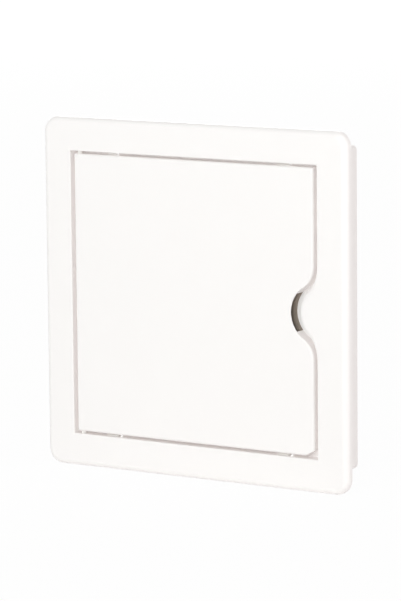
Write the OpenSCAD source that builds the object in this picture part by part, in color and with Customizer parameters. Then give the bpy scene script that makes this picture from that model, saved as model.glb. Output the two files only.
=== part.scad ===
// Moulded access hatch: a flanged square frame, a door leaf on two push-in hinge pins,
// four snap catches round the landing and a finger cup behind the pull notch.
// X runs to the right, Y back into the wall, Z up. The wall's face is the plane y = 0.

/* [Frame] */
// Clear width and height of the opening
opening_w = 177; // [150:1:240]
// Depth of the flange in front of the wall
flange_t = 6; // [5.5:0.5:9]
// How far the flange laps over the wall beyond the skirt
flange_lap = 11; // [8:0.5:20]
// Outer corner radius of the flange
flange_r = 9.5; // [6:0.5:14]
// Radius rolled over the flange's front edge
edge_r = 4; // [2:0.25:4.5]
// Wall of the flange's face
face_t = 2.2; // [1.8:0.1:3]
// Wall of the flange's outer rim
rim_t = 2; // [1.4:0.1:3]
// Wall of the reveal round the opening
reveal_t = 2; // [1.6:0.1:3]
// Radius on the opening's front edge
reveal_edge_r = 0.6; // [0.4:0.1:1.5]
// Free channel between the reveal and the skirt
channel_w = 5.5; // [4.5:0.5:12]
// Depth of the landing behind the flange's face
landing_depth = 8; // [7.5:0.5:12]
// How far the landing reaches behind the door's rim
landing_lap = 0.8; // [0.5:0.1:1.2]
// Thickness of the landing
landing_t = 2; // [1.5:0.1:4]
// Thickness of the stiffening webs behind the flange
web_t = 1.6; // [1:0.1:3]
// Distance of the webs from the middle of each side
web_pitch = 38; // [34:1:46]

/* [Skirt] */
// Wall of the skirt
skirt_t = 2; // [1.5:0.1:4]
// Depth of the skirt behind the wall's face
skirt_l = 25; // [22:1:80]
// Outer corner radius of the skirt
skirt_r = 3; // [2.5:0.5:5]
// Diameter of the fixing holes
fixing_d = 5.2; // [3:0.1:6]
// Distance between neighbouring fixing holes
fixing_pitch = 56; // [50:1:58]
// Depth of the fixing holes behind the wall's face
fixing_depth = 12; // [8:0.5:18]

/* [Finger pull] */
// Height of the finger pull above the middle of the opening
pull_z = -0.6; // [-8:0.2:8]
// How far the frame's rounded nib stands into the opening
nib_depth = 13.5; // [10:0.5:20]
// Radius of the nib's crest and of its two flanks
nib_r = 18; // [14:0.5:24]
// Radius of the crest of the door's notch
notch_r = 18; // [16:0.5:22]
// Gap between the crest of the nib and the door
pull_gap = 5; // [4:0.5:9]
// Radius on the front edge of the nib's crest
nib_edge_r = 4; // [1:0.25:4.5]
// Height of the finger window in the door's rim
window_h = 23; // [16:0.5:24]
// Thickness of the skin's lip over the finger window
lip_t = 0.8; // [0.7:0.1:1.5]
// Radius on the front edge of the lip
lip_edge_r = 0.6; // [0.4:0.1:0.6]
// Reach of the finger cup behind the door, from the rim
cup_reach = 14; // [10:0.5:20]
// Depth of the finger cup behind the door's skin
cup_depth = 12.5; // [10:0.5:16]
// Wall of the finger cup
cup_t = 1.5; // [1:0.1:2]

/* [Door] */
// Gap between the door and the opening at left and right
side_gap = 2.5; // [2:0.1:3]
// Gap between the door and the opening at top and bottom
end_gap = 1.7; // [1.6:0.1:3]
// Thickness of the door's skin
skin_t = 2.5; // [1.8:0.1:3]
// Wall of the rim behind the skin
door_rim_t = 2; // [1.4:0.1:3]
// Radius on the door's front edge
door_edge_r = 1.7; // [0.8:0.1:1.8]
// Width of the pry cut at the door's lower free corner
pry_w = 6.5; // [4:0.5:10]
// Height of the pry cut at the door's lower free corner
pry_h = 3.8; // [2.5:0.1:6]
// Spacing of the ribs behind the skin
rib_pitch = 43; // [36:1:46]
// Thickness of the ribs
rib_t = 1.6; // [1:0.1:2.5]
// Height of the ribs behind the skin
rib_h = 3; // [1.5:0.1:4]

/* [Hinge] */
// Distance of the hinge axis from the side of the opening
hinge_inset = 5.2; // [4.8:0.1:5.6]
// Depth of the hinge axis behind the door's face
hinge_depth = 3.5; // [3.2:0.1:3.8]
// Diameter of the hinge pins
pin_d = 3; // [2.4:0.1:3.2]
// Length of the knuckles that hold the pins in the door
knuckle_l = 16; // [12:1:24]
// Depth of the pin sockets in the frame
socket_l = 5.5; // [4:0.5:6]
// Wall of the pin sockets
socket_t = 1.7; // [1.2:0.1:1.8]
// Length of the thumb tab on each pin
tab_l = 2.4; // [1.6:0.1:4]

/* [Snap catches] */
// Distance of the catches from the sides of the opening
catch_inset = 26.5; // [23:0.5:35]
// Width of the catch tongues
catch_w = 8.4; // [6:0.2:9]
// Thickness of the catch tongues
catch_t = 1.6; // [1.2:0.1:2]
// Length of a catch nose along the depth
nose_l = 2.6; // [2:0.1:3.2]
// Diameter of the catch's pivot bar
bar_d = 2.4; // [1.8:0.1:2.6]
// Distance of the pivot bar behind the landing
bar_back = 7; // [5:0.5:9]
// Thickness of the lugs that carry the bar
lug_t = 2; // [1.4:0.1:3]
// Height of the strike ridge on the door's edge
strike_h = 0.5; // [0.3:0.05:0.6]

/* [Fits] */
// Air between the door's rim and the landing, and beside moving pieces
seat_gap = 0.3; // [0.2:0.05:0.5]
// Radial clearance of turning pins and bars
run_gap = 0.05; // [0.03:0.01:0.09]
// Radial clearance of pins pushed into the door
push_gap = 0.02; // [0.01:0.01:0.04]

/* [Hidden] */
$fn = 64;
eps = 0.5;
white_abs = [0.96, 0.955, 0.945];
white_acetal = [0.93, 0.92, 0.89];
matt_taupe = [0.45, 0.41, 0.37];

// Frame
open_h = opening_w / 2;
channel_in = open_h + reveal_t;
channel_out = channel_in + channel_w;
skirt_h = channel_out + skirt_t;
flange_h = skirt_h + flange_lap;
face_y = -flange_t;
face_back_y = face_y + face_t;
landing_y = face_y + landing_depth;
landing_back_y = landing_y + landing_t;
web_h = 2.4;
web_bite = 0.3;
roll_bite = 1;
roll_fn = 128;
round_steps = 6;
round_lead = 0.2;
arc_step = 4;
void_reach = 3;
free_spare = 1;
flank_bite = 0.02;
lip_lead = 0.1;

// Finger pull: circle centres of the nib's crest and flanks
nib_crest_x = open_h - nib_depth;
nib_c = [nib_crest_x + nib_r, pull_z];
flank_x = open_h - nib_r;
flank_z = sqrt(pow(2 * nib_r, 2) - pow(nib_c[0] - flank_x, 2));
notch_flank_r = nib_r - side_gap;
notch_crest_x = nib_crest_x - pull_gap;
notch_c = [notch_crest_x + notch_r, pull_z];
notch_flank_x = open_h - side_gap - notch_flank_r;
notch_flank_z = sqrt(pow(notch_r + notch_flank_r, 2) - pow(notch_c[0] - notch_flank_x, 2));
window_turn = asin(window_h / 2 / notch_r);
sector_steps = 4;

// Door
door_w = open_h - side_gap;
door_h = open_h - end_gap;
skin_back_y = face_y + skin_t;
door_back_y = landing_y - seat_gap;
cup_left = notch_crest_x - door_rim_t - cup_reach;
cup_back_y = skin_back_y + cup_depth;
cup_side_room = 3;
cup_h = window_h / 2 + cup_side_room + cup_t;
cup_right = notch_c[0] - notch_r / 2;
cup_corner_r = 3;

// Hinge
axis_x = -open_h + hinge_inset;
axis_y = face_y + hinge_depth;
pin_r = pin_d / 2;
knuckle_r = hinge_inset - side_gap;
hinge_swing_y = axis_y + sqrt(pow(landing_y - seat_gap - axis_y, 2) - pow(knuckle_r, 2));
knuckle_z = door_h - knuckle_l;
knuckle_bite = 0.8;
relief_past = 1;
pin_top = open_h + socket_l - seat_gap;
tab_x = door_rim_t + seat_gap - door_w;

// Catches
catch_at = open_h - catch_inset;
bar_r = bar_d / 2;
bar_y = landing_back_y + bar_back;
bar_z = channel_in + channel_w / 2;
nose_lift = 1;
nose_y = landing_y - seat_gap - nose_lift - nose_l;
nose_tip = door_h + strike_h + seat_gap;
strike_y = nose_y + nose_l + strike_h;
lug_wall = 1.4;
lug_h = bar_r + lug_wall;
lug_in = catch_w / 2 + seat_gap;
lug_out = lug_in + lug_t;

// Outline given in X and Z, made solid between two depths
module slab(y0, y1) {
    translate([0, y1, 0]) rotate([90, 0, 0]) linear_extrude(y1 - y0) children();
}

// Square of half width h with corners of radius r
module rounded_square(h, r) {
    square([2 * h, 2 * (h - r)], center = true);
    square([2 * (h - r), 2 * h], center = true);
    for (x = [-1, 1], z = [-1, 1]) translate([x, z] * (h - r)) circle(r);
}

// Bulge on a straight side at base_x: a crest arc that runs into two flank arcs, flank_z above and below it
module bulge(base_x, c, crest_r, flank_x, flank_z, flank_r) {
    share = (crest_r + eps) / (crest_r + flank_r);
    past = share * [flank_x - c[0], flank_z];
    base = base_x - c[0];
    translate(c) difference() {
        union() {
            circle(crest_r);
            polygon([[base, flank_z], past, [0, 0], [past[0], -past[1]], [base, -flank_z],
                     [base + crest_r, -flank_z], [base + crest_r, flank_z]]);
        }
        for (s = [-1, 1]) translate([flank_x - c[0], s * flank_z]) circle(flank_r + flank_bite);
    }
}

// Opening of the frame, grown by g on every side
module opening(g) {
    difference() {
        square(2 * (open_h + g), center = true);
        bulge(open_h + g, nib_c, nib_r - g, flank_x, flank_z, nib_r + g);
    }
}

// Pull notch of the door, grown by g
module notch(g) {
    bulge(door_w - g, notch_c, notch_r + g, notch_flank_x, notch_flank_z, notch_flank_r - g);
}

// Share of the pry cut's legs that is left on an outline drawn in by g
function pry_share(g) = 1 - g * (1 / pry_w + 1 / pry_h - sqrt(1 / (pry_w * pry_w) + 1 / (pry_h * pry_h)));

// Triangle cut from the lower free corner of the door's outline, which is drawn in by g
module pry_cut(g) {
    k = pry_share(g);
    w = door_w - g;
    h = door_h - g;
    polygon([[w + eps, -h - eps], [w - k * pry_w, -h - eps], [w - k * pry_w, -h],
             [w, -h + k * pry_h], [w + eps, -h + k * pry_h]]);
}

// Outline of the door, drawn in by g on every side
module door_outline(g) {
    difference() {
        square([2 * (door_w - g), 2 * (door_h - g)], center = true);
        notch(g);
        pry_cut(g);
    }
}

// Points [place, direction, edge radius] along an arc: the direction, radial times s, leads into the stock
function arc_line(c, r, from, to, s, edge) =
    let (n = ceil(abs(to - from) / arc_step))
    [for (i = [0:n]) let (a = from + (to - from) * i / n, d = [cos(a), sin(a)]) [c + r * d, s * d, edge(a)]];

// Points along a bulge: downwards with the stock round the flanks (s = 1), or upwards with it inside them (-1)
function bulge_line(c, crest_r, flank_x, flank_z, flank_r, s, end_r, mid_r) =
    let (turn = s * atan2(flank_z, c[0] - flank_x),
         crest = arc_line(c, crest_r, 180 - turn, 180 + turn, -s, function (a) mid_r),
         grow = function (a) end_r + (mid_r - end_r) * pow(a / turn, 2))
    concat(arc_line([flank_x, c[1] + s * flank_z], flank_r, 0, -turn, s, grow),
           [for (i = [1:len(crest) - 2]) crest[i]],
           arc_line([flank_x, c[1] - s * flank_z], flank_r, turn, 0, s, grow));

// Section of an edge void at a point of its line: from the air over the quarter round to the back
function edge_section(p, back_y) =
    let (first = 90 / round_steps,
         lead = p[2] + round_lead * sin(first) / (1 - cos(first)),
         round = [for (k = [1:round_steps]) let (t = k * first) p[2] * [1 - sin(t), 1 - cos(t)]],
         profile = concat([[-void_reach, -round_lead], [lead, -round_lead]], round,
                          [[0, back_y - face_y], [-void_reach, back_y - face_y]]))
    [for (q = profile) let (place = p[0] + q[0] * p[1]) [place[0], face_y + q[1], place[1]]];

// Void along a line of points that leaves a quarter round on the front edge of the stock beside it
module edge_void(line, back_y, closed) {
    n = len(line);
    m = round_steps + 4;
    points = [for (p = line, q = edge_section(p, back_y)) q];
    sides = [for (i = [0:closed ? n - 1 : n - 2], k = [0:m - 1], half = [0, 1])
        let (a = i * m, b = (i + 1) % n * m, j = (k + 1) % m)
        half == 0 ? [a + k, a + j, b + j] : [a + k, b + j, b + k]];
    ends = closed ? [] : [[for (k = [0:m - 1]) (m - k) % m], [for (k = [0:m - 1]) (n - 1) * m + k]];
    polyhedron(points, concat(sides, ends));
}

// Section of a rolled edge of radius r, with a bite into the stock behind it
module roll(r) {
    difference() {
        translate([-roll_bite, 0]) square([roll_bite + r, r]);
        difference() {
            square(2 * r);
            circle(r);
        }
    }
}

// Front plate of the flange with its outer edge rolled over
module flange_block() {
    flat = flange_h - edge_r;
    turn = flange_r - edge_r;
    slab(face_y + edge_r, 0) rounded_square(flange_h, flange_r);
    slab(face_y, face_y + edge_r) rounded_square(flat, turn);
    for (a = [0:90:270]) rotate([0, a, 0]) {
        translate([flat, face_y + edge_r, turn - flat])
            linear_extrude(2 * (flat - turn)) mirror([0, 1]) roll(edge_r);
        translate([flat - turn, face_y + edge_r, flat - turn]) rotate([90, 0, 0])
            rotate_extrude(angle = 90, $fn = roll_fn) translate([turn, 0]) roll(edge_r);
    }
}

// Copies for the upper and the lower end
module both_ends() {
    children();
    mirror([0, 0, 1]) children();
}

// Copies for the left and the right half
module both_halves() {
    children();
    mirror([1, 0, 0]) children();
}

// Webs across the channel and behind the flange, on one side of the frame
module webs() {
    for (s = [-1, 1]) translate([0, s * web_pitch]) translate([0, -web_t / 2])
        square([flange_h - rim_t + web_bite, web_t]);
}

// Moulded frame: flange, reveal with its landing, skirt, pin sockets and catch lugs
module frame() {
    color(white_abs) difference() {
        union() {
            difference() {
                flange_and_reveal();
                edge_void(opening_line(), landing_back_y + eps, true);
            }
            slab(landing_y, landing_back_y) difference() {
                opening(reveal_t / 2);
                door_outline(landing_lap);
                intersection() {
                    door_outline(0);
                    window_sector();
                }
            }
            slab(face_y + face_t / 2, skirt_l) difference() {
                rounded_square(skirt_h, skirt_r);
                rounded_square(channel_out, skirt_r - skirt_t);
            }
            slab(face_back_y - web_bite, face_back_y + web_h) difference() {
                for (a = [0:90:270]) rotate(a) webs();
                opening(reveal_t / 2);
            }
            both_ends() pin_socket();
            both_ends() both_halves() catch_lugs();
        }
        both_ends() pin_bore();
        both_ends() both_halves() catch_window();
        for (a = [0:90:270]) rotate([0, a, 0]) fixing_holes();
    }
}

// Hollow flange with the reveal's wall behind it, before the opening gets its size and its rounded edge
module flange_and_reveal() {
    difference() {
        union() {
            difference() {
                flange_block();
                slab(face_back_y, eps) rounded_square(flange_h - rim_t, flange_r - rim_t);
            }
            slab(face_y + face_t / 2, landing_back_y) opening(reveal_t);
        }
        slab(face_y - eps, landing_back_y + eps) opening(-void_reach / 2);
    }
}

// Points round the opening: along the nib and then from corner to corner
function opening_line() =
    concat(bulge_line(nib_c, nib_r, flank_x, flank_z, nib_r, 1, reveal_edge_r, nib_edge_r),
           [for (d = [[1, -1], [-1, -1], [-1, 1], [1, 1]]) [open_h * d, d, reveal_edge_r]]);

// Boss behind the reveal that takes the upper hinge pin
module pin_socket() {
    translate([axis_x, axis_y, open_h + reveal_t / 2])
        cylinder(h = reveal_t / 2 + channel_w + skirt_t / 2, r = pin_r + socket_t);
}

// Blind bore of the upper pin socket
module pin_bore() {
    translate([axis_x, axis_y, open_h - eps]) cylinder(h = socket_l + eps, r = pin_r + run_gap);
}

// Pair of lugs under the skirt that carry the upper right catch
module catch_lugs() {
    for (s = [-1, 1]) translate([catch_at + s * (lug_in + lug_t / 2), bar_y, 0]) rotate([0, 90, 0])
        difference() {
            translate([0, 0, -lug_t / 2]) linear_extrude(lug_t) {
                translate([-bar_z, 0]) circle(lug_h);
                translate([-channel_out - skirt_t / 2, -lug_h])
                    square([channel_out + skirt_t / 2 - bar_z, 2 * lug_h]);
            }
            translate([-bar_z, 0, -lug_t]) cylinder(h = 2 * lug_t, r = bar_r + run_gap);
        }
}

// Slot through the reveal and the landing for the upper right catch
module catch_window() {
    below = door_h - 2 * landing_lap;
    translate([catch_at - lug_in, nose_y - 2 * seat_gap, below])
        cube([2 * lug_in, landing_back_y + eps - nose_y + 2 * seat_gap, bar_z - below]);
}

// Row of fixing holes through the right side of the skirt
module fixing_holes() {
    for (i = [-1.5:1:1.5]) translate([channel_out - eps, fixing_depth, i * fixing_pitch])
        rotate([0, 90, 0]) cylinder(h = skirt_t + 2 * eps, d = fixing_d);
}

// Moulded door: skin with a rounded front edge, rim, ribs, knuckles and strike ridges
module door_leaf() {
    color(white_abs) difference() {
        union() {
            difference() {
                door_block();
                slab(face_y - eps, door_back_y + eps) pry_cut(0);
                slab(skin_back_y, door_back_y + eps) door_outline(door_rim_t);
                hinge_relief();
                finger_window();
            }
            slab(skin_back_y - skin_t / 2, skin_back_y + rib_h) door_ribs();
            both_ends() knuckle();
            both_ends() both_halves() strike();
        }
        both_ends() pin_way();
    }
}

// Solid door with its front edge rounded, before it is hollowed
module door_block() {
    difference() {
        difference() {
            intersection() {
                translate([free_spare / 2, 0, -door_h - eps]) linear_extrude(2 * (door_h + eps))
                    door_section(door_w + free_spare / 2);
                translate([-door_w - eps, 0, 0]) rotate([0, 90, 0])
                    linear_extrude(2 * (door_w + free_spare)) door_section(door_h);
            }
            slab(face_y - eps, door_back_y + eps) notch(-void_reach / 2);
        }
        edge_void(free_edge_line(), door_back_y + eps, false);
    }
}

// Points up the door's free edge, along its notch and past both corners
function free_edge_line() =
    let (end = function (z) [[door_w, z], [-1, 0], door_edge_r])
    concat([end(-door_h - eps)],
           bulge_line(notch_c, notch_r, notch_flank_x, notch_flank_z, notch_flank_r, -1,
                      door_edge_r, lip_edge_r),
           [end(door_h + eps)]);

// Section across the door of half width h, with its front edges rounded
module door_section(h) {
    r = door_edge_r;
    translate([-h, face_y + r]) square([2 * h, door_back_y - face_y - r]);
    translate([r - h, face_y]) square([2 * (h - r), r + eps]);
    for (s = [-1, 1]) translate([s * (h - r), face_y + r]) circle(r);
}

// Lowers the rim beside the hinge, so that it swings clear of the landing
module hinge_relief() {
    translate([-door_w - eps, hinge_swing_y, -door_h - eps])
        cube([knuckle_r + eps + relief_past, door_back_y, 2 * (door_h + eps)]);
}

// Opening in the rim where a finger hooks behind the skin, with radial ends and a thin lip in front
module finger_window() {
    near = notch_r - eps;
    far = notch_r + door_rim_t + eps;
    lip_y = face_y + lip_t;
    translate([notch_c[0], 0, notch_c[1]]) rotate([90, 0, 0]) rotate([0, 0, 180 - window_turn])
        rotate_extrude(angle = 2 * window_turn, $fn = roll_fn)
            polygon([[near, -lip_y], [notch_r - lip_lead, -lip_y], [far, -skin_back_y],
                     [far, -door_back_y - eps], [near, -door_back_y - eps]]);
}

// Sector behind the finger window, up to just inside the finger cup
module window_sector() {
    step = window_turn / sector_steps;
    reach = (notch_r + door_rim_t + cup_t + eps) / cos(step / 2);
    translate(notch_c) polygon([[0, 0], for (i = [-sector_steps:sector_steps])
        -reach * [cos(i * step), sin(i * step)]]);
}

// Lattice of ribs, kept off the rim's outside and off the cup's seat
module door_ribs() {
    difference() {
        intersection() {
            door_outline(door_rim_t / 2);
            for (i = [-1:1]) {
                translate([i * rib_pitch - rib_t / 2, -door_h]) square([rib_t, 2 * door_h]);
                translate([-door_w, i * rib_pitch - rib_t / 2]) square([2 * door_w, rib_t]);
            }
        }
        translate([cup_left - seat_gap, pull_z - cup_h - seat_gap])
            square([door_w - cup_left, 2 * (cup_h + seat_gap)]);
    }
}

// Upper knuckle, flush with the door's left edge
module knuckle() {
    front_y = skin_back_y - knuckle_bite;
    translate([axis_x, axis_y, knuckle_z]) linear_extrude(knuckle_l) intersection() {
        union() {
            circle(knuckle_r);
            translate([-knuckle_r, front_y - axis_y]) square([2 * knuckle_r, axis_y - front_y]);
        }
        translate([-2 * knuckle_r, front_y - axis_y]) square(4 * knuckle_r);
    }
}

// Bore of the upper knuckle and the groove along which its pin is pushed in
module pin_way() {
    translate([axis_x, axis_y, knuckle_z - eps])
        cylinder(h = knuckle_l + 2 * eps, r = pin_r + push_gap);
    translate([axis_x, axis_y, knuckle_z - knuckle_l - socket_l - tab_l])
        cylinder(h = knuckle_l + socket_l + tab_l, r = pin_r + seat_gap);
}

// Ridge on the upper edge that the right catch snaps over
module strike() {
    translate([catch_at - catch_w / 2, strike_y, door_h]) rotate([0, 90, 0])
        cylinder(h = catch_w, r = strike_h);
}

// Outline of the finger cup, drawn in by g
module cup_outline(g) {
    difference() {
        translate([cup_left + g, pull_z + g - cup_h]) {
            translate([cup_corner_r - g, 0]) square([cup_right - cup_left, 2 * (cup_h - g)]);
            translate([0, cup_corner_r - g]) square([cup_right - cup_left, 2 * (cup_h - cup_corner_r)]);
            for (z = [cup_corner_r - g, 2 * cup_h - g - cup_corner_r])
                translate([cup_corner_r - g, z]) circle(cup_corner_r - g);
        }
        notch(door_rim_t + push_gap + g);
    }
}

// Finger cup fixed behind the skin, open towards the window in the rim
module finger_cup() {
    color(matt_taupe) difference() {
        slab(skin_back_y, cup_back_y) cup_outline(0);
        slab(skin_back_y - eps, cup_back_y - cup_t) cup_outline(cup_t);
        slab(skin_back_y - eps, door_back_y) window_sector();
    }
}

// Push-in hinge pin with a thumb tab, upper one
module hinge_pin() {
    color(white_acetal) {
        translate([axis_x, axis_y, knuckle_z - tab_l]) cylinder(h = pin_top - knuckle_z + tab_l, r = pin_r);
        translate([tab_x, axis_y, knuckle_z - tab_l])
            cube([axis_x + pin_r - tab_x, door_back_y - axis_y, tab_l]);
    }
}

// Snap catch: pivot bar, tongue and rounded nose, upper right one
module catch_piece() {
    tip_r = nose_l / 2;
    color(white_acetal) translate([catch_at, 0, 0]) {
        translate([-lug_out, bar_y, bar_z]) rotate([0, 90, 0]) cylinder(h = 2 * lug_out, r = bar_r);
        translate([-catch_w / 2, 0, 0]) rotate([90, 0, 90]) linear_extrude(catch_w) {
            translate([nose_y, bar_z - catch_t / 2]) square([bar_y - nose_y, catch_t]);
            translate([nose_y, nose_tip + tip_r]) square([nose_l, bar_z + catch_t / 2 - nose_tip - tip_r]);
            translate([nose_y + tip_r, nose_tip + tip_r]) circle(tip_r);
        }
    }
}

module hinge_pin_upper() { hinge_pin(); }
module hinge_pin_lower() { mirror([0, 0, 1]) hinge_pin(); }
module catch_upper_right() { catch_piece(); }
module catch_upper_left() { mirror([1, 0, 0]) catch_piece(); }
module catch_lower_right() { mirror([0, 0, 1]) catch_piece(); }
module catch_lower_left() { mirror([0, 0, 1]) mirror([1, 0, 0]) catch_piece(); }

frame();
door_leaf();
finger_cup();
hinge_pin_upper();
hinge_pin_lower();
catch_upper_left();
catch_upper_right();
catch_lower_left();
catch_lower_right();
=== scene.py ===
"""Looks of a moulded access hatch: its plastic finishes, a plain studio and the camera.

Everything is in metres, in the part's own frame: +X to the right, +Y back into the wall, +Z up.
The wall's face is the plane y = 0. Sizes whose names end in _mm are in millimetres. Azimuth is
in degrees to the right of straight ahead, elevation in degrees upwards.
"""

from __future__ import annotations

import logging
import math
from dataclasses import dataclass, field
from enum import Enum
from typing import Callable, Mapping, Sequence, Union

import bpy
from mathutils import Matrix, Vector


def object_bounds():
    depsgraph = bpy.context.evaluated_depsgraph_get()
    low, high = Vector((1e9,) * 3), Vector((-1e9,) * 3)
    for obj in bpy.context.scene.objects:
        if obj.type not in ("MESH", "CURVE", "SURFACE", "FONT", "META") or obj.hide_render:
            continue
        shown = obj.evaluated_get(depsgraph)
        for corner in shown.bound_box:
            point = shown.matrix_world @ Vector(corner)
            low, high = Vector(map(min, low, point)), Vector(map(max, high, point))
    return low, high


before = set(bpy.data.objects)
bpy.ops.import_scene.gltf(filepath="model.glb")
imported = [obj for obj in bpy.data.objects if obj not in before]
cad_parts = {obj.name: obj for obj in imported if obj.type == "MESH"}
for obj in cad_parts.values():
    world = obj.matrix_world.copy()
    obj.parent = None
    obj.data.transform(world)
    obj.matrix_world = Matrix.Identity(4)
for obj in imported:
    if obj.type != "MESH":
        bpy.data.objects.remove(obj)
CAD_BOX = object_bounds()

LOG = logging.getLogger("hatch")

Colour = tuple[float, float, float]
Key = Union[str, int]
Value = Union["Signal", float, Colour]
Marks = Callable[["Graph", "Signal"], "Signal"]

MM = 0.001
NOISE_MIDDLE = 0.5
PURE_WHITE: Colour = (1.0, 1.0, 1.0)
COOL: Colour = (0.94, 1.0, 0.99)
WARM: Colour = (1.0, 0.945, 0.935)


class Signal:
    """An output socket on which shader maths is written as Python expressions."""

    def __init__(self, graph: "Graph", socket: bpy.types.NodeSocket) -> None:
        """Keeps the socket and the graph that it belongs to."""
        self.graph = graph
        self.socket = socket

    def sibling(self, output: Key) -> "Signal":
        """Another output of the same node, by name or by place."""
        return Signal(self.graph, self.socket.node.outputs[output])

    def _math(self, operation: str, *operands: Value) -> "Signal":
        """Adds one Math node.

        Args:
            operation: Name of the node's operation.
            operands: Values of its inputs, in order.

        Returns:
            The node's result.
        """
        return self.graph.add("ShaderNodeMath", {"operation": operation}, dict(enumerate(operands)))

    def __add__(self, other: Value) -> "Signal":
        """Sum of two values."""
        return self._math("ADD", self, other)

    def __radd__(self, other: Value) -> "Signal":
        """Sum with the number on the left."""
        return self._math("ADD", other, self)

    def __sub__(self, other: Value) -> "Signal":
        """Difference of two values."""
        return self._math("SUBTRACT", self, other)

    def __rsub__(self, other: Value) -> "Signal":
        """Difference with the number on the left."""
        return self._math("SUBTRACT", other, self)

    def __mul__(self, other: Value) -> "Signal":
        """Product of two values."""
        return self._math("MULTIPLY", self, other)

    def __rmul__(self, other: Value) -> "Signal":
        """Product with the number on the left."""
        return self._math("MULTIPLY", other, self)

    def __lt__(self, other: Value) -> "Signal":
        """One where the value is below the other one."""
        return self._math("LESS_THAN", self, other)

    def __gt__(self, other: Value) -> "Signal":
        """One where the value is above the other one."""
        return self._math("GREATER_THAN", self, other)

    def __abs__(self) -> "Signal":
        """Size of the value without its sign."""
        return self._math("ABSOLUTE", self)

    def highest(self, other: Value) -> "Signal":
        """The higher one of two values."""
        return self._math("MAXIMUM", self, other)

    def lowest(self, other: Value) -> "Signal":
        """The lower one of two values."""
        return self._math("MINIMUM", self, other)

    def repeat(self, pitch: float) -> "Signal":
        """The value folded into one pitch, from minus to plus half of it."""
        return self._math("WRAP", self, pitch / 2, -pitch / 2)


class Graph:
    """A node tree that is filled by one method."""

    def __init__(self, tree: bpy.types.NodeTree) -> None:
        """Takes over a node tree and empties it."""
        self.tree = tree
        tree.nodes.clear()

    def add(
        self,
        kind: str,
        settings: Mapping[str, object] | None = None,
        sockets: Mapping[Key, Value] | None = None,
        output: Key = 0,
    ) -> Signal:
        """Adds a node, sets its settings first and then its sockets.

        Args:
            kind: Type of the node.
            settings: Properties of the node.
            sockets: Value or link of each input, by name or by place.
            output: Output to hand back, by name or by place.

        Returns:
            The chosen output, or the node's first input where it has no output.
        """
        node = self.tree.nodes.new(kind)
        for name, value in (settings or {}).items():
            setattr(node, name, value)
        for name, value in (sockets or {}).items():
            socket = node.inputs[name]
            if isinstance(value, Signal):
                self.tree.links.new(value.socket, socket)
            elif isinstance(value, (int, float, str)):
                socket.default_value = value
            else:
                wanted = len(socket.default_value)
                socket.default_value = (*value, 1.0)[:wanted]
        return Signal(self, node.outputs[output] if len(node.outputs) else node.inputs[0])

    def mix(self, factor: Value, first: Value, second: Value) -> Signal:
        """Mixes two colours.

        Args:
            factor: Share of the second colour.
            first: Colour at factor 0.
            second: Colour at factor 1.

        Returns:
            The mixed colour.
        """
        # The node's sockets for other kinds of value bear the same names, so colours go by place.
        sockets = {"Factor": factor, 6: first, 7: second}
        return self.add("ShaderNodeMix", {"data_type": "RGBA"}, sockets, output=2)

    def blend(self, share: Value, first: Signal, second: Signal) -> Signal:
        """Mixes two shaders.

        Args:
            share: Share of the second shader.
            first: Shader at share 0.
            second: Shader at share 1.

        Returns:
            The mixed shader.
        """
        return self.add("ShaderNodeMixShader", {}, {0: share, 1: first, 2: second})

    def noise(self, point: Signal, size_mm: float, detail: float) -> Signal:
        """Noise in the object's own space.

        Args:
            point: Place on the object.
            size_mm: Size of its features.
            detail: Octaves of finer noise.

        Returns:
            A value about NOISE_MIDDLE.
        """
        return self.add(
            "ShaderNodeTexNoise",
            {"noise_dimensions": "3D"},
            {"Vector": point, "Scale": 1.0 / (size_mm * MM), "Detail": detail},
            output="Fac",
        )

    def axes(self, vector: Signal) -> tuple[Signal, Signal, Signal]:
        """Splits a vector into its X, Y and Z."""
        x = self.add("ShaderNodeSeparateXYZ", {}, {"Vector": vector}, output="X")
        return x, x.sibling("Y"), x.sibling("Z")

    def disc(self, across: Signal, along: Signal, diameter: float, soft: float) -> Signal:
        """A disc about the place where both values are zero.

        Args:
            across: Distance along the first axis.
            along: Distance along the second axis.
            diameter: Diameter of the disc.
            soft: Width over which its edge fades.

        Returns:
            One on the disc and zero outside it.
        """
        place = self.add("ShaderNodeCombineXYZ", {}, {"X": across, "Y": along})
        radius = self.add("ShaderNodeVectorMath", {"operation": "LENGTH"}, {0: place}, output="Value")
        fade = {
            "Value": radius,
            "From Min": diameter / 2 - soft,
            "From Max": diameter / 2,
            "To Min": 1.0,
            "To Max": 0.0,
        }
        return self.add("ShaderNodeMapRange", {"interpolation_type": "SMOOTHSTEP"}, fade)


class Grain(Enum):
    """How a moulded surface was finished in its mould."""

    SPARKED = "spark-eroded front, smoother core side"
    DRAWN = "drawn smooth along the height"
    MATT = "matt all over"


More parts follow.
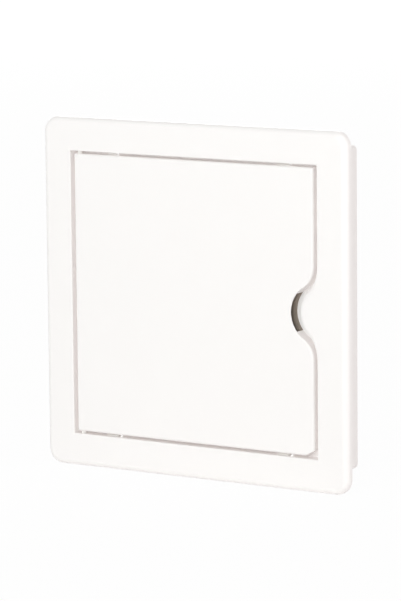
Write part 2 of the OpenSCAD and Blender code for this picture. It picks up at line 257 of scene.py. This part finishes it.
@dataclass(frozen=True)
class MouldedPlastic:
    """Opaque plastic with a fine mould grain, slight flow clouds and the marks of ejector pins."""

    name: str
    colour: Colour
    shade: Colour
    roughness: float
    grain: Grain
    grain_mm: float = 0.45
    grain_depth_mm: float = 0.006
    grain_detail: float = 2.0
    drawn_scale: float = 0.08
    bump_strength: float = 0.6
    cloud_mm: float = 34.0
    cloud_detail: float = 3.0
    roughness_swing: float = 0.08
    core_facing: float = 0.5
    core_gloss: float = 0.10
    mark_depth_mm: float = 0.06
    mark_gloss: float = 0.08
    specular: float = 0.4

    def material(self, piece: str, marks: Marks | None = None) -> bpy.types.Material:
        """Builds the material.

        Args:
            piece: Name of the sub-assembly that wears it.
            marks: Places of the ejector pins, as one on each mark and zero elsewhere.

        Returns:
            A material with a procedural colour, roughness and bump.
        """
        made = bpy.data.materials.new(f"{self.name}_{piece}")
        made.use_nodes = True
        graph = Graph(made.node_tree)
        point = graph.add("ShaderNodeTexCoord", output="Object")
        grain = self._grain(graph, point)
        clouds = graph.noise(point, self.cloud_mm, self.cloud_detail)
        colour = graph.mix(clouds, self.shade, self.colour)
        roughness = self._roughness(graph, grain)
        height_mm = self.grain_depth_mm * grain
        if marks is not None:
            mark = marks(graph, point)
            colour = graph.mix(mark, colour, self.shade)
            roughness = roughness - self.mark_gloss * mark
            height_mm = height_mm - self.mark_depth_mm * mark
        bump = {"Strength": self.bump_strength, "Distance": MM, "Height": height_mm}
        look = {
            "Base Color": colour,
            "Roughness": roughness,
            "Specular IOR Level": self.specular,
            "Normal": graph.add("ShaderNodeBump", {}, bump),
        }
        shader = graph.add("ShaderNodeBsdfPrincipled", {}, look)
        graph.add("ShaderNodeOutputMaterial", {}, {"Surface": shader})
        return made

    def _grain(self, graph: Graph, point: Signal) -> Signal:
        """Height of the mould grain, stretched along the height where the plastic is drawn.

        Args:
            graph: Graph of the material.
            point: Place on the object.

        Returns:
            A height about NOISE_MIDDLE.
        """
        if self.grain is Grain.DRAWN:
            along = {"Vector": point, "Scale": (1.0, 1.0, self.drawn_scale)}
            point = graph.add("ShaderNodeMapping", {"vector_type": "POINT"}, along)
        return graph.noise(point, self.grain_mm, self.grain_detail)

    def _roughness(self, graph: Graph, grain: Signal) -> Signal:
        """Roughness, lower on the side that faced the mould's core.

        Args:
            graph: Graph of the material.
            grain: Height of the mould grain.

        Returns:
            The roughness.
        """
        level = self.roughness + self.roughness_swing * (grain - NOISE_MIDDLE)
        if self.grain is not Grain.SPARKED:
            return level
        _, back, _ = graph.axes(graph.add("ShaderNodeTexCoord", output="Normal"))
        return level - self.core_gloss * (back > self.core_facing)


WHITE_ABS = MouldedPlastic(
    "white_abs",
    colour=(0.957, 0.931, 0.925),
    shade=(0.950, 0.923, 0.916),
    roughness=0.42,
    grain=Grain.SPARKED,
)
WHITE_ACETAL = MouldedPlastic(
    "white_acetal",
    colour=(0.90, 0.885, 0.86),
    shade=(0.88, 0.865, 0.835),
    roughness=0.5,
    grain=Grain.DRAWN,
    grain_mm=0.25,
)
# Matt dark taupe for the finger cup: painted shade, standing in for the dark space seen through the
# finger notch.
PAINTED_SHADE_TAUPE = MouldedPlastic(
    "matt_taupe",
    colour=(0.41, 0.35, 0.30),
    shade=(0.39, 0.335, 0.285),
    roughness=0.75,
    grain=Grain.MATT,
    grain_mm=0.6,
    specular=0.2,
)


@dataclass
class SmoothRounds:
    """Joins a solid's patches and smooths the small steps of its rounded edges."""

    name: str = "smooth_rounds"
    weld_mm: float = 0.001
    crease_deg: float = 32.0
    flatness: int = 100

    def build(self) -> bpy.types.NodeTree:
        """Makes the node group.

        Returns:
            A group that takes and gives a mesh.
        """
        tree = bpy.data.node_groups.new(self.name, "GeometryNodeTree")
        for way in ("INPUT", "OUTPUT"):
            tree.interface.new_socket("Geometry", in_out=way, socket_type="NodeSocketGeometry")
        graph = Graph(tree)
        mesh = graph.add("NodeGroupInput")
        weld = {"Geometry": mesh, "Distance": self.weld_mm * MM}
        mesh = graph.add("GeometryNodeMergeByDistance", {}, weld)
        stored = {"Geometry": mesh, "Name": "custom_normal"}
        mesh = graph.add("GeometryNodeRemoveAttribute", {}, stored)
        angle = graph.add("GeometryNodeInputMeshEdgeAngle", output="Unsigned Angle")
        soft = angle < math.radians(self.crease_deg)
        for domain, smooth in (("FACE", True), ("EDGE", soft)):
            shading = {"Geometry": mesh, "Shade Smooth": smooth}
            mesh = graph.add("GeometryNodeSetShadeSmooth", {"domain": domain}, shading)
        graph.add("NodeGroupOutput", {}, {"Geometry": mesh})
        return tree

    def apply_to(self, solid: bpy.types.Object) -> None:
        """Adds the group and area-weighted normals to a solid.

        Args:
            solid: The solid to smooth.
        """
        group = bpy.data.node_groups.get(self.name) or self.build()
        solid.modifiers.new(self.name, "NODES").node_group = group
        normals = solid.modifiers.new("flat_faces_stay_flat", "WEIGHTED_NORMAL")
        normals.keep_sharp = True
        normals.weight = self.flatness


@dataclass
class SubAssembly:
    """Solids of one kind that wear one finish."""

    name: str
    nodes: Sequence[str]
    finish: MouldedPlastic
    rounds: SmoothRounds = field(default_factory=SmoothRounds)

    def build(self) -> None:
        """Smooths the rounded edges of every solid."""
        for node in self.nodes:
            self.rounds.apply_to(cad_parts[node])

    def dress(self) -> None:
        """Gives every solid its finish."""
        self._wear(self.finish.material(self.name))

    def _wear(self, material: bpy.types.Material) -> None:
        """Puts one material on every solid.

        Args:
            material: What they wear.
        """
        for node in self.nodes:
            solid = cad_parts[node]
            solid.data.materials.clear()
            solid.data.materials.append(material)
            LOG.info("%s: %s in %s", self.name, node, material.name)


@dataclass
class EjectedMoulding(SubAssembly):
    """Moulding with the round marks of the pins that pushed it out of its mould."""

    back_mm: float = 0.0
    pin_d_mm: float = 6.0
    pin_edge_mm: float = 0.5
    plane_tolerance_mm: float = 0.1

    def dress(self) -> None:
        """Gives every solid its finish, with the pin marks."""
        self._wear(self.finish.material(self.name, self._pin_marks))

    def _pin_marks(self, graph: Graph, point: Signal) -> Signal:
        """Marks on the plane at back_mm, which faces back.

        Args:
            graph: Graph of the material.
            point: Place on the moulding.

        Returns:
            One on each mark and zero elsewhere.
        """
        x, y, z = graph.axes(point)
        across, along = self._from_pin(x, z)
        behind = abs(y - self.back_mm * MM) < self.plane_tolerance_mm * MM
        return behind * graph.disc(across, along, self.pin_d_mm * MM, self.pin_edge_mm * MM)

    def _from_pin(self, x: Signal, z: Signal) -> tuple[Signal, Signal]:
        """Two distances from the nearest pin, at right angles to each other.

        Args:
            x: Distance to the right of the middle.
            z: Distance above the middle.

        Returns:
            Both distances, with their signs.
        """
        raise NotImplementedError


@dataclass
class FrameMoulding(EjectedMoulding):
    """Flanged frame, with a row of pin marks behind each side of its flange."""

    name: str = "frame"
    nodes: Sequence[str] = ("frame",)
    finish: MouldedPlastic = WHITE_ABS
    back_mm: float = -3.8
    pin_d_mm: float = 4.5
    pin_edge_mm: float = 0.4
    pin_row_mm: float = 102.5
    pin_pitch_mm: float = 38.0

    def _from_pin(self, x: Signal, z: Signal) -> tuple[Signal, Signal]:
        """Distances out from a row and along it, with the pins midway between the flange's webs."""
        pitch = self.pin_pitch_mm * MM
        out = abs(x).highest(abs(z)) - self.pin_row_mm * MM
        along = (abs(x).lowest(abs(z)) - pitch / 2).repeat(pitch)
        return out, along


@dataclass
class Door(EjectedMoulding):
    """Door leaf, with a pin mark in the middle of each field between its ribs."""

    name: str = "door"
    nodes: Sequence[str] = ("door_leaf",)
    finish: MouldedPlastic = WHITE_ABS
    back_mm: float = -3.5
    field_mm: float = 43.0

    def _from_pin(self, x: Signal, z: Signal) -> tuple[Signal, Signal]:
        """Distances across and up from the middle of a field."""
        width = self.field_mm * MM
        return (x - width / 2).repeat(width), (z - width / 2).repeat(width)


@dataclass
class FingerCup(SubAssembly):
    """Cup behind the finger notch, coloured matt dark taupe as painted shade for the dark space seen
    through the notch.
    """

    name: str = "cup"
    nodes: Sequence[str] = ("finger_cup",)
    finish: MouldedPlastic = PAINTED_SHADE_TAUPE


@dataclass
class HingePins(SubAssembly):
    """Smooth pins that the door swings on."""

    name: str = "pins"
    nodes: Sequence[str] = ("hinge_pin_upper", "hinge_pin_lower")
    finish: MouldedPlastic = WHITE_ACETAL


@dataclass
class SnapCatches(SubAssembly):
    """Snap tongues above and below the door."""

    name: str = "catches"
    nodes: Sequence[str] = (
        "catch_upper_left",
        "catch_upper_right",
        "catch_lower_left",
        "catch_lower_right",
    )
    finish: MouldedPlastic = WHITE_ACETAL


@dataclass(frozen=True)
class Lamp:
    """Square soft lamp that faces the hatch, on a sphere about it."""

    name: str
    azimuth: float
    elevation: float
    size: float
    power: float
    colour: Colour
    distance: float = 2.5

    def build(self) -> None:
        """Makes the lamp and turns it to the hatch."""
        turn = math.radians(self.azimuth)
        rise = math.radians(self.elevation)
        flat = math.cos(rise)
        toward = Vector((math.sin(turn) * flat, -math.cos(turn) * flat, math.sin(rise)))
        data = bpy.data.lights.new(self.name, "AREA")
        data.size = self.size
        data.energy = self.power
        data.color = self.colour
        lamp = bpy.data.objects.new(self.name, data)
        lamp.location = self.distance * toward
        lamp.rotation_euler = (-toward).to_track_quat("-Z", "Y").to_euler()
        bpy.context.scene.collection.objects.link(lamp)


@dataclass
class Studio:
    """Plain pale floor, white background and soft light."""

    white_bounces: int = 12
    floor_size: float = 24.0
    floor_colour: Colour = (0.93, 0.92, 0.915)
    floor_glow: float = 0.965
    sky: float = 0.515
    sky_colour: Colour = (1.0, 0.985, 0.975)
    lamps: Sequence[Lamp] = (
        Lamp("key", azimuth=12.0, elevation=15.0, size=1.2, power=25.8, colour=COOL),
        Lamp("side", azimuth=92.0, elevation=10.0, size=1.0, power=11.5, colour=WARM),
        Lamp("top", azimuth=40.0, elevation=62.0, size=1.2, power=5.0, colour=WARM),
        Lamp("back", azimuth=212.0, elevation=12.0, size=2.0, power=62.7, colour=COOL, distance=4.8),
    )

    def build(self) -> None:
        """Makes the world, the floor and the lamps, and lets light bounce on in the white gaps."""
        bpy.context.scene.cycles.diffuse_bounces = self.white_bounces
        self._world()
        self._floor()
        for lamp in self.lamps:
            lamp.build()

    def _world(self) -> None:
        """White to the eye and in reflections, and an even light on the object."""
        world = bpy.data.worlds.new("studio")
        bpy.context.scene.world = world
        world.use_nodes = True
        graph = Graph(world.node_tree)
        light = graph.add("ShaderNodeBackground", {}, {"Color": self.sky_colour, "Strength": self.sky})
        white = graph.add("ShaderNodeBackground", {}, {"Color": PURE_WHITE, "Strength": 1.0})
        shown = graph.blend(self._seen(graph), light, white)
        graph.add("ShaderNodeOutputWorld", {}, {"Surface": shown})

    @staticmethod
    def _seen(graph: Graph) -> Signal:
        """One for rays that the eye, a gloss or a glass sends out.

        Args:
            graph: Graph to add the nodes to.

        Returns:
            A value of 0 or 1.
        """
        camera = graph.add("ShaderNodeLightPath", output="Is Camera Ray")
        return camera + camera.sibling("Is Glossy Ray") + camera.sibling("Is Transmission Ray")

    def _floor(self) -> None:
        """Pale floor under the hatch, which keeps its shadow."""
        low = CAD_BOX[0][2]
        half = self.floor_size / 2
        mesh = bpy.data.meshes.new("floor")
        corners = [(-half, -half, low), (half, -half, low), (half, half, low), (-half, half, low)]
        mesh.from_pydata(corners, [], [(0, 1, 2, 3)])
        floor = bpy.data.objects.new("floor", mesh)
        bpy.context.scene.collection.objects.link(floor)
        mesh.materials.append(self._floor_material())

    def _floor_material(self) -> bpy.types.Material:
        """Pale paint that glows nearly white to the eye.

        Returns:
            The floor's material.
        """
        made = bpy.data.materials.new("pale_floor")
        made.use_nodes = True
        graph = Graph(made.node_tree)
        matt = graph.add("ShaderNodeBsdfDiffuse", {}, {"Color": self.floor_colour})
        glow = graph.add("ShaderNodeEmission", {}, {"Color": PURE_WHITE, "Strength": 1.0})
        shown = graph.blend(self._seen(graph) * self.floor_glow, matt, glow)
        graph.add("ShaderNodeOutputMaterial", {}, {"Surface": shown})
        return made


@dataclass
class Viewpoint:
    """Camera that looks at the hatch from its free side and slightly from above."""

    target: tuple[float, float, float] = (0.00237, 0.0, 0.00082)
    distance: float = 2.1636
    azimuth: float = 32.95
    elevation: float = 8.47
    roll: float = -0.56
    lens_mm: float = 213.25
    sensor_mm: float = 36.0

    def build(self) -> None:
        """Makes the camera and hands it to the scene."""
        data = bpy.data.cameras.new("viewpoint")
        data.lens = self.lens_mm
        data.sensor_width = self.sensor_mm
        turn = Matrix.Rotation(math.radians(self.azimuth), 4, "Z")
        tilt = Matrix.Rotation(math.radians(90.0 - self.elevation), 4, "X")
        lean = Matrix.Rotation(math.radians(self.roll), 4, "Z")
        back = Matrix.Translation((0.0, 0.0, self.distance))
        camera = bpy.data.objects.new("viewpoint", data)
        camera.matrix_world = Matrix.Translation(self.target) @ turn @ tilt @ back @ lean
        bpy.context.scene.collection.objects.link(camera)
        bpy.context.scene.camera = camera


def main() -> None:
    """Dresses the hatch and sets up the studio and the camera."""
    logging.basicConfig(level=logging.INFO, format="%(message)s")
    bpy.context.scene.view_settings.view_transform = "Standard"
    for assembly in (FrameMoulding(), Door(), FingerCup(), HingePins(), SnapCatches()):
        assembly.build()
        assembly.dress()
    Studio().build()
    Viewpoint().build()


if __name__ == "__main__":
    main()
